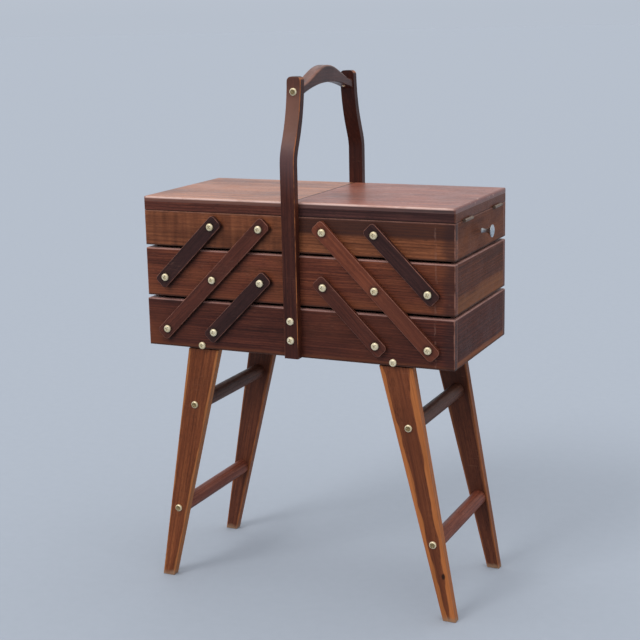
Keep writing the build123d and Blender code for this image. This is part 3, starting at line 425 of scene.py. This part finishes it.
def end_shade(amount=0.6):
    """The outer end of a front board, darker and greyer over the last centimetres."""

    def go(M, lo, hi, d):
        n = M.noise(M.mapping(M.coord, loc=(1.0, M.seed, 0.0), scale=(30, 30, 50)), 1.0, 3.0, 0.55)
        x = M.add(M.x, M.mul(M.sub(n, 0.5), 0.016))
        face = outer_face(M, lo, hi)
        k = M.mul(M.mul(M.range(x, 0.199, 0.213), amount), face)
        M.col = M.mix(k, M.col, lin(48, 29, 29))
        # broken pale run mark
        r = M.math("ABSOLUTE", M.sub(M.x, M.add(0.1945, M.mul(M.sub(n, 0.5), 0.006))))
        br = M.noise(M.mapping(M.coord, loc=(3.0, M.seed, 0.5), scale=(300, 300, 150)), 1.0, 3.0, 0.6)
        k = M.mul(M.range(r, 0.0020, 0.0004), M.range(br, 0.42, 0.62, 0.0, 0.26))
        M.col = M.mix(M.mul(k, face), M.col, lin(150, 112, 98))
        # rubbed orange patch at the lower left corner
        q = M.math("SQRT", M.add(M.math("POWER", M.add(M.x, 0.222), 2.0), M.math("POWER", M.sub(M.z, lo.z + 0.012), 2.0)))
        k = M.mul(M.range(M.add(q, M.mul(M.sub(n, 0.5), 0.03)), 0.036, 0.010), 0.35)
        M.col = M.mix(M.mul(k, face), M.col, lin(132, 72, 42))

    return go


ARM_LINES = (
    (0.187, 0.3653, 0.2008),
    (0.116, 0.3653, 0.1004),
    (0.187, 0.4363, 0.1004),
)


def painted_arm_shadow(amount=0.8):
    """Painted shadow along the lower side of each closed arm."""

    def go(M, lo, hi, d):
        xa = M.math("ABSOLUTE", M.x)
        n = M.noise(M.mapping(M.coord, loc=(2.0, M.seed, 7.0), scale=(70, 70, 70)), 1.0, 3.0, 0.6)
        total = None
        for x0, z0, ln in ARM_LINES:
            dx, dz = M.sub(xa, x0), M.sub(M.z, z0)
            across = M.mul(M.add(dx, dz), math.sqrt(0.5))
            along = M.mul(M.sub(dz, dx), math.sqrt(0.5))
            over = M.math("ABSOLUTE", M.sub(along, ln / 2))
            k = M.mul(M.range(M.add(across, M.mul(M.sub(n, 0.5), 0.002)), -0.0148, -0.0100), M.range(across, 0.002, -0.006))
            k = M.mul(k, M.range(over, ln / 2 + 0.014, ln / 2 + 0.009))
            total = k if total is None else M.math("MAXIMUM", total, k)
        total = M.mul(total, outer_face(M, lo, hi))
        M.col = M.mix(M.mul(total, amount), M.col, lin(22, 11, 9))

    return go


Z = {n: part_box(n) for n in NODES}
zb = Z["box_front_board"][0].z
zt = Z["box_front_board"][1].z
mz0, mz1 = Z["right_mid_tray_front_board"][0].z, Z["right_mid_tray_front_board"][1].z
tz0, tz1 = Z["right_top_tray_front_board"][0].z, Z["right_top_tray_front_board"][1].z

for face in ("front", "back"):
    board_material(
        "box_%s_board" % face, RED_DARK, "x", ring=0.0036, ring_amount=0.30, streak=0.75, pith=(0.09, 0.02),
        blotch=lin(100, 52, 34), blotch_amount=0.35, arris=(lin(158, 118, 110), 0.9),
        after=several(strip("z", zb + 0.0050, 0.0016, lin(110, 62, 38), 0.5), end_shade(0.5), painted_arm_shadow()),
    )
for side in ("left", "right"):
    board_material(
        "box_%s_end_board" % side, (lin(42, 20, 15), lin(76, 38, 28), lin(110, 58, 40)), "y", skip=("-y", "+y"), ring=0.005, ring_amount=0.30, streak=0.45,
        pith=(0.10, 0.03), rough=(0.40, 0.58),
        after=strip("z", zb + 0.0085, 0.0018, lin(138, 80, 46), 0.85),
    )
for side in ("left", "right"):
    for face in ("front", "back"):
        board_material(
            "%s_mid_tray_%s_board" % (side, face), RED_MID, "x", ring=0.0034, ring_amount=0.32, streak=0.75,
            pith=(0.055, 0.03), blotch=lin(120, 68, 38), blotch_amount=0.4,
            after=several(strip("z", mz0 + 0.013, 0.007, lin(120, 66, 40), 0.45, wobble=0.006), end_shade(0.6), painted_arm_shadow()),
        )
    board_material(
        "%s_mid_tray_outer_board" % side, (lin(50, 26, 17), lin(88, 46, 29), lin(122, 68, 40)), "y",
        skip=("-y", "+y"), ring=0.0062, ring_amount=0.34, streak=0.5, pith=(0.08, 0.05), rough=(0.40, 0.58),
        after=strip("z", mz0 + 0.021, 0.006, lin(140, 86, 48), 0.62, wobble=0.008),
    )
    for face in ("front", "back"):
        if (side, face) in (("left", "front"), ("right", "back")):
            board_material(
                "%s_top_tray_%s_board" % (side, face), BROWN, "x", ring=0.0060, ring_amount=0.22, streak=0.5,
                figure=0.95, pith=(0.12, 0.06), blotch=lin(88, 46, 29), blotch_amount=0.6,
                arris=(lin(126, 82, 62), 0.6), after=painted_arm_shadow(),
            )
        else:
            board_material(
                "%s_top_tray_%s_board" % (side, face), BROWN, "x", ring=0.0040, ring_amount=0.4, streak=0.7,
                pith=(0.06, 0.02), arris=(lin(112, 76, 66), 0.6),
                after=several(strip("z", tz0 + 0.0255, 0.0026, lin(52, 29, 26), 0.9, above=True, wobble=0.003), end_shade(0.6),
                              painted_arm_shadow()),
            )
    board_material(
        "%s_top_tray_outer_board" % side, (lin(56, 30, 19), lin(94, 50, 31), lin(130, 74, 43)), "y",
        skip=("-y", "+y"), ring=0.006, ring_amount=0.3, streak=0.42, pith=(0.07, 0.09), rough=(0.40, 0.58),
        blotch=lin(132, 76, 44), blotch_amount=0.7, arris=(lin(120, 80, 64), 0.6),
    )

INNER = (lin(92, 56, 34), lin(132, 86, 54), lin(164, 114, 76))
for side in ("left", "right"):
    for tier in ("mid", "top"):
        board_material("%s_%s_tray_inner_board" % (side, tier), RED_MID, "y", skip=("-y", "+y"), ring=0.0055,
                       ring_amount=0.3, streak=0.5, pith=(0.06, 0.05))
        board_material("%s_%s_tray_bottom_panel" % (side, tier), INNER, "x", edge_amt=0.0, ring=0.009,
                       ring_amount=0.3, streak=0.4, pith=(0.2, 0.012), rough=(0.5, 0.7))
board_material("box_bottom_panel", INNER, "x", edge_amt=0.0, ring=0.009, ring_amount=0.3, streak=0.4,
               pith=(0.25, 0.012), rough=(0.5, 0.7))

# ---------------------------------------------------------------------------
# Lids
# ---------------------------------------------------------------------------
for side in ("left", "right"):
    sg = 1 if side == "right" else -1
    node = side + "_lid_panel"
    M = wood(node + "_wood", *(LID_LEFT if sg < 0 else LID), grain="x", seed=next_seed(), ring=0.0050, ring_amount=0.26, streak=0.8,
             pith=(0.03, 0.028), blotch=lin(96, 52, 42), blotch_amount=0.5, rough=(0.34, 0.50), bump=0.00008, coat=0.2,
             specular=0.5)
    lo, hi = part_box(node)
    d = box_edge(M, (M.x, M.y, M.z), lo, hi, ("-z",))
    # dark edge and front strip of the panel, as below
    k = M.range(M.z, hi.z - 0.0020, hi.z - 0.0032)
    M.col = M.mix(M.mul(k, 0.9), M.col, M.mix(M.tone, RIM_LEFT[0] if sg < 0 else PURPLE[0], RIM_LEFT[2] if sg < 0 else PURPLE[2]))
    xa = M.math("ABSOLUTE", M.x)
    M.col = M.mix(M.mul(M.mul(k, M.range(xa, 0.2184, 0.2194)), 0.85), M.col, M.mix(M.tone, lin(78, 40, 30), lin(140, 84, 64)))
    # painted highlight along the upper arris, over a rubbed, nearly bare line
    n = M.noise(M.mapping(M.coord, loc=(0.3, M.seed, 0.9), scale=(22, 22, 60)), 1.0, 4.0, 0.62)
    long_edge = M.math("MINIMUM", M.sub(M.y, lo.y), M.sub(hi.y, M.y))
    end_edge = M.sub(hi.x, M.x) if sg > 0 else M.sub(M.x, lo.x)
    seam = M.sub(M.x, lo.x) if sg > 0 else M.sub(hi.x, M.x)
    k = M.mul(M.range(long_edge, 0.0019, 0.0009), M.range(n, 0.32, 0.56, 0.5, 1.0))
    k = M.mul(k, M.range(M.z, hi.z - 0.0034, hi.z - 0.0020))
    k = M.mul(k, M.range(seam, 0.0004, 0.0016))
    M.col = M.mix(k, M.col, lin(212, 176, 164))
    # rubbed end with small chips
    k = M.mul(M.range(end_edge, 0.0042, 0.0010), M.range(M.z, hi.z - 0.0050, hi.z - 0.0030))
    M.col = M.mix(M.mul(k, 0.7), M.col, lin(118, 62, 50))
    chip = M.noise(M.mapping(M.coord, loc=(0.7, M.seed, 0.9), scale=(120, 120, 120)), 1.0, 3.0, 0.6)
    M.col = M.mix(M.mul(k, M.range(chip, 0.60, 0.66)), M.col, lin(190, 148, 128))
    # dark joint between the lids
    M.col = M.mix(M.range(seam, 0.0011, 0.0003, 0.0, 0.85), M.col, lin(40, 20, 16))
    dress(node, finish_wood(M, 0.8))
    node = side + "_lid_rim"
    M = wood(node + "_wood", *(RIM_LEFT if sg < 0 else PURPLE), grain="x", seed=next_seed(), ring=0.0036,
             ring_amount=0.28, streak=0.75, pith=(0.05, 0.08))
    lo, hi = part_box(node)
    xa = M.math("ABSOLUTE", M.x)
    M.col = M.mix(M.mul(M.range(xa, 0.2184, 0.2194), 0.85), M.col, M.mix(M.tone, lin(70, 36, 26), lin(130, 78, 56)))
    # painted shade along the lower edge of the rim, at the joint below
    M.col = M.mix(M.range(M.z, lo.z + 0.0012, lo.z + 0.0002, 0.0, 0.7), M.col, lin(24, 13, 11))
    dress(node, finish_wood(M))


# ---------------------------------------------------------------------------
# Arms
# ---------------------------------------------------------------------------
def arm_material(node, pal, sg, pivots, warm):
    M = wood(node + "_wood", *pal, rot=(0, math.pi / 2 + sg * math.pi / 4, 0), seed=next_seed(), ring=0.0032, ring_amount=0.14, streak=0.5,
             pith=(0.02, 0.05), rough=(0.34, 0.5))
    x0, z0 = pivots[0]
    ax, az = -sg * math.sqrt(0.5), math.sqrt(0.5)
    along = M.add(M.mul(M.sub(M.x, x0), ax), M.mul(M.sub(M.z, z0), az))
    across = M.add(M.mul(M.sub(M.x, x0), sg * az), M.mul(M.sub(M.z, z0), az))
    ln = math.hypot(pivots[-1][0] - x0, pivots[-1][1] - z0)
    ya = M.math("ABSOLUTE", M.y)
    d = box_edge(M, (along, across, ya), (-0.0133, -0.010, 0.1075), (ln + 0.0133, 0.010, 0.113))
    if pal is ARM_WARM:
        # the lower half is darker
        k = M.range(along, 0.125, 0.070, 0.0, 0.65)
        M.col = M.mix(k, M.col, M.mix(M.tone, lin(42, 21, 16), lin(108, 58, 43)))
    wear(M, d, 0.0011, 0.35, warm, 0.7)
    n = M.noise(M.mapping(M.coord, loc=(0.1, M.seed, 0.9), scale=(50, 50, 50)), 1.0, 4.0, 0.65)
    M.col = M.mix(M.mul(rounded(M, "y"), M.range(n, 0.36, 0.62, 0.15, 0.95)), M.col, warm)
    # ends darker round the screws
    for s in range(len(pivots)):
        c = ln * s / (len(pivots) - 1)
        a = M.sub(along, c)
        rr = M.math("SQRT", M.add(M.mul(a, a), M.mul(across, across)))
        M.col = M.mix(M.range(rr, 0.0105, 0.0045, 0.0, 0.55), M.col, lin(30, 19, 18))
    dress(node, finish_wood(M))


for side, sg in (("left", -1), ("right", 1)):
    P = lambda x, z: (sg * x, 0.340 + z)
    arm_material(side + "_long_arms", ARM_RED if side == "left" else ARM_WARM, sg,
                 [P(0.187, 0.0253), P(0.116, 0.0963), P(0.045, 0.1673)], lin(150, 100, 84))
    arm_material(side + "_lower_short_arms", ARM_DARK if side == "left" else ARM_RED, sg,
                 [P(0.116, 0.0253), P(0.045, 0.0963)], lin(140, 94, 80))
    arm_material(side + "_upper_short_arms", ARM_DARK, sg,
                 [P(0.187, 0.0963), P(0.116, 0.1673)], lin(150, 100, 84))

# ---------------------------------------------------------------------------
# Handle
# ---------------------------------------------------------------------------
for face in ("front", "back"):
    node = "handle_%s_upright" % face
    M = wood(node + "_wood", lin(32, 15, 11), lin(66, 31, 24), lin(98, 52, 38), grain="z", seed=next_seed(), ring=0.0034, ring_amount=0.2, streak=0.6,
             pith=(0.03, 0.05), rough=(0.32, 0.48))
    k = M.range(M.x, 0.0090, 0.0098)
    warm = M.noise(M.mapping(M.coord, scale=(9, 9, 9)), 1.0, 3.0, 0.6)
    M.col = M.mix(M.mul(k, M.range(warm, 0.4, 0.7, 0.0, 0.35)), M.col, lin(120, 66, 42))
    # painted sheen on the outer face, paler: greyish over the set, browner above, dark again at the top
    ny = M.split(M.t.nodes.new("ShaderNodeNewGeometry").outputs["Normal"])[1]
    out = M.range(ny, -0.2, -0.7) if face == "front" else M.range(ny, 0.2, 0.7)
    k = M.mul(M.range(M.z, 0.545, 0.605), M.range(M.z, 0.694, 0.668, 0.35, 1.0))
    k = M.mul(M.mul(k, out), M.range(warm, 0.3, 0.62, 0.45, 0.8))
    M.col = M.mix(k, M.col, M.mix(M.range(M.z, 0.600, 0.640), lin(104, 78, 78), lin(132, 92, 78)))
    M.col = M.mix(M.mul(M.sub(1.0, out), M.range(M.z, 0.54, 0.60, 0.0, 0.45)), M.col, lin(40, 18, 15))
    n = M.noise(M.mapping(M.coord, loc=(0.1, M.seed, 0.9), scale=(60, 60, 34)), 1.0, 4.0, 0.65)
    M.col = M.mix(M.mul(rounded(M, "x"), M.mul(M.range(M.x, -0.006, 0.006, 0.3, 1.0), M.range(n, 0.38, 0.60, 0.1, 0.95))), M.col, EDGE_ORANGE)
    dress(node, finish_wood(M))
M = wood("handle_crossbar_wood", lin(36, 18, 14), lin(66, 35, 28), lin(98, 56, 44), grain="y", seed=next_seed(), ring=0.0048, ring_amount=0.3, streak=0.45,
         pith=(0.03, 0.05), rough=(0.26, 0.42), coat=0.2)
n = M.noise(M.mapping(M.coord, scale=(20, 20, 20)), 1.0, 3.0, 0.6)
M.col = M.mix(M.mul(M.range(n, 0.4, 0.65), 0.35), M.col, lin(98, 60, 48))
# painted highlight on the upward faces, partly hand-rubbed wear
nz = M.split(M.t.nodes.new("ShaderNodeNewGeometry").outputs["Normal"])[2]
f = M.noise(M.mapping(M.coord, loc=(4.0, 1.0, 0.0), scale=(70, 22, 70)), 1.0, 4.0, 0.65)
M.col = M.mix(M.mul(M.range(nz, 0.35, 0.85), M.range(f, 0.36, 0.64, 0.1, 0.65)), M.col, lin(150, 106, 94))
M.col = M.mix(M.mul(rounded(M, "x"), M.range(f, 0.42, 0.6, 0.0, 0.5)), M.col, lin(150, 104, 88))
dress("handle_crossbar", finish_wood(M))

# ---------------------------------------------------------------------------
# Legs and stretchers
# ---------------------------------------------------------------------------
SLOPE = (0.189 - 0.1562) / (0.258 - 0.104)


def leg_material(node, pal, band, band_w, band_amt, top_dark=0.0, edge=EDGE_ORANGE):
    sg = 1 if "right" in node else -1
    rot = (0, math.pi / 2 + sg * math.atan(SLOPE), 0)
    M = wood(node + "_wood", *pal, rot=rot, seed=next_seed(), ring=0.0044, ring_amount=0.24, streak=0.6,
             pith=(0.055, 0.02), rough=(0.38, 0.56), blotch=pal[0], blotch_amount=0.25)
    axis = M.add(0.1562, M.mul(M.sub(0.258, M.z), SLOPE))
    s = M.sub(M.mul(M.x, sg), axis)
    half = M.add(0.009, M.mul(M.z, 0.014 / 0.336))
    side_d = M.sub(half, M.math("ABSOLUTE", s))
    ya = M.math("ABSOLUTE", M.y)
    yd = M.math("MINIMUM", M.sub(ya, 0.0895), M.sub(0.1015, ya))
    # pale sapwood along both edges, its inner border wandering
    n = M.noise(M.mapping(M.coord, loc=(M.seed, 0, 0), scale=(8, 8, 11)), 1.0, 3.0, 0.5)
    n2 = M.noise(M.mapping(M.coord, loc=(0, M.seed, 0), scale=(40, 40, 22)), 1.0, 3.0, 0.5)
    wv = M.add(M.mul(band_w, M.range(n, 0.3, 0.7, 0.25, 1.9, False)), M.mul(M.sub(n2, 0.5), 0.004))
    k = M.range(M.sub(side_d, wv), 0.0007, -0.0007)
    M.col = M.mix(M.mul(k, band_amt), M.col, M.mix(M.range(M.tone, 0.2, 0.8), tuple(c * 0.55 for c in band[:3]) + (1,), band))
    d = M.math("MAXIMUM", side_d, yd)
    wear(M, d, 0.0018, 0.7, edge, 0.5)
    if top_dark:
        M.col = M.mix(M.range(M.z, 0.20, 0.335, 0.0, top_dark), M.col, lin(44, 26, 20))
    # scuffed foot
    n = M.noise(M.mapping(M.coord, loc=(M.seed, 4.0, 0), scale=(90, 90, 90)), 1.0, 4.0, 0.65)
    M.col = M.mix(M.range(M.add(M.z, M.mul(M.sub(n, 0.5), 0.014)), 0.009, 0.001, 0.0, 0.8), M.col, lin(150, 118, 92))
    return M


M = leg_material("front_left_leg", (lin(70, 35, 19), lin(117, 61, 34), lin(156, 91, 52)), lin(186, 118, 66), 0.0022, 0.8)
dress("front_left_leg", finish_wood(M))
M = leg_material("front_right_leg", (lin(66, 32, 20), lin(110, 58, 34), lin(146, 84, 50)), lin(190, 114, 62), 0.0055, 0.9)
# a small dark knot low on the face
kx = M.sub(M.x, 0.2030)
kz = M.mul(M.sub(M.z, 0.062), 0.6)
kr = M.math("SQRT", M.add(M.mul(kx, kx), M.mul(kz, kz)))
M.col = M.mix(M.range(kr, 0.0034, 0.0014, 0.0, 0.9), M.col, lin(26, 15, 12))
dress("front_right_leg", finish_wood(M))
for node in ("back_left_leg", "back_right_leg"):
    M = leg_material(node, (lin(48, 25, 18), lin(88, 46, 31), lin(122, 68, 43)), lin(160, 96, 58), 0.0025, 0.6, 0.35)
    dress(node, finish_wood(M))
for side in ("left", "right"):
    for level in ("upper", "lower"):
        pal = (lin(48, 29, 23), lin(84, 52, 41), lin(116, 76, 58)) if level == "upper" else (lin(74, 36, 27), lin(118, 62, 46), lin(152, 90, 66))
        M = wood("%s_%s_stretcher_wood" % (side, level), *pal, grain="y", seed=next_seed(), ring=0.0045,
                 ring_amount=0.35, streak=0.55, pith=(0.03, 0.04), rough=(0.36, 0.52))
        dress("%s_%s_stretcher" % (side, level), finish_wood(M))


# ---------------------------------------------------------------------------
# Metal
# ---------------------------------------------------------------------------
def metal(name, base, dark, rough, metallic=1.0, scale=260.0):
    M = Mat(name)
    n = M.noise(M.mapping(M.coord, scale=(scale,) * 3), 1.0, 4.0, 0.65)
    big = M.noise(M.mapping(M.coord, loc=(3, 1, 2), scale=(31, 31, 31)), 1.0, 2.0, 0.5)
    k = M.range(M.add(M.mul(n, 0.7), M.mul(big, 0.3)), 0.38, 0.66)
    M.put(M.bsdf.inputs["Base Color"], M.mix(k, base, dark))
    M.put(M.bsdf.inputs["Roughness"], M.range(n, 0.3, 0.7, rough[0], rough[1], False))
    sc = M.noise(M.mapping(M.coord, rot=(0.4, 0.2, 0.7), scale=(300, 4000, 4000)), 1.0, 2.0, 0.5)
    M.put(M.bsdf.inputs["Normal"], M.bump(M.add(n, M.mul(sc, 0.5)), 0.00006, 0.5))
    M.bsdf.inputs["Metallic"].default_value = metallic
    return M


for node in NODES:
    if node.endswith("screws"):
        M = metal(node + "_brass", lin(244, 230, 196), lin(214, 196, 152), (0.34, 0.5), 0.55)
        # dull, dirty drive recess: its walls face sideways near the top, its floor lies deep
        top = max(abs(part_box(node)[0].y), abs(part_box(node)[1].y))
        ny = M.split(M.t.nodes.new("ShaderNodeNewGeometry").outputs["Normal"])[1]
        ny = M.math("ABSOLUTE", ny)
        deep = M.sub(top, M.math("ABSOLUTE", M.split(M.coord)[1]))
        wall = M.mul(M.range(ny, 0.75, 0.5), M.range(deep, 0.00085, 0.00070))
        base = M.mul(M.range(ny, 0.90, 0.98), M.range(deep, 0.0009, 0.0013))
        k = M.math("MAXIMUM", wall, base)
        old = M.bsdf.inputs["Base Color"].links[0].from_socket
        M.put(M.bsdf.inputs["Base Color"], M.mix(k, old, lin(126, 110, 74)))
        dress(node, M.m)
    elif "hinge" in node:
        dress(node, metal(node + "_metal", lin(158, 140, 124), lin(104, 86, 72), (0.4, 0.6)).m)
    elif node.endswith("knob"):
        dress(node, metal(node + "_metal", lin(206, 212, 217), lin(160, 167, 172), (0.34, 0.5)).m)

# ---------------------------------------------------------------------------
# Floor, light and camera
# ---------------------------------------------------------------------------
bpy.ops.mesh.primitive_plane_add(size=120, location=(0, 0, 0))
floor = bpy.context.object
floor.name = "floor"
M = Mat("floor_pale")
n = M.noise(M.mapping(M.coord, scale=(60, 60, 60)), 1.0, 3.0, 0.6)
M.put(M.bsdf.inputs["Base Color"], M.mix(n, (0.374, 0.421, 0.494, 1), (0.401, 0.449, 0.523, 1)))
M.bsdf.inputs["Roughness"].default_value = 0.9
M.bsdf.inputs["Specular IOR Level"].default_value = 0.15
floor.data.materials.append(M.m)
floor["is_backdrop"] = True

world = bpy.data.worlds.new("world")
scene.world = world
world.use_nodes = True
wt = world.node_tree
bg = wt.nodes["Background"]
up = wt.nodes.new("ShaderNodeSeparateXYZ")
wt.links.new(wt.nodes.new("ShaderNodeTexCoord").outputs["Generated"], up.inputs[0])
grade = wt.nodes.new("ShaderNodeMix")
grade.data_type = "RGBA"
grade.clamp_factor = True
wt.links.new(up.outputs[2], grade.inputs[0])
grade.inputs[6].default_value = (0.511, 0.565, 0.650, 1)
grade.inputs[7].default_value = (1.36, 1.33, 1.29, 1)
wt.links.new(grade.outputs[2], bg.inputs[0])
bg.inputs[1].default_value = 0.93


def sun(name, direction, strength, angle, color=(1, 1, 1)):
    data = bpy.data.lights.new(name, "SUN")
    data.energy = strength
    data.angle = math.radians(angle)
    data.color = color
    ob = bpy.data.objects.new(name, data)
    scene.collection.objects.link(ob)
    ob.rotation_mode = "QUATERNION"
    ob.rotation_quaternion = Vector(direction).to_track_quat("-Z", "Y")
    return ob


sun("front", (0.42, 1.0, -0.95), 0.85, 22, (1.0, 0.98, 0.95))

cam_data = bpy.data.cameras.new("camera")
cam = bpy.data.objects.new("camera", cam_data)
scene.collection.objects.link(cam)
scene.camera = cam
cam_data.sensor_width = 36.0
cam_data.lens = 36.0 * 1364 / 640
cam_data.clip_start, cam_data.clip_end = 0.05, 60
yaw, pitch, roll = math.radians(24.58), math.radians(12.7), math.radians(-1.2)
f = Vector((-math.sin(yaw) * math.cos(pitch), math.cos(yaw) * math.cos(pitch), -math.sin(pitch)))
r0 = Vector((math.cos(yaw), math.sin(yaw), 0))
u0 = r0.cross(f)
r1 = math.cos(roll) * r0 + math.sin(roll) * u0
u1 = -math.sin(roll) * r0 + math.cos(roll) * u0
rot3 = Matrix((r1, u1, -f)).transposed()
cam.matrix_world = Matrix.Translation((0.7510, -1.6671, 0.77905)) @ rot3.to_4x4()

lo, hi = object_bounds()
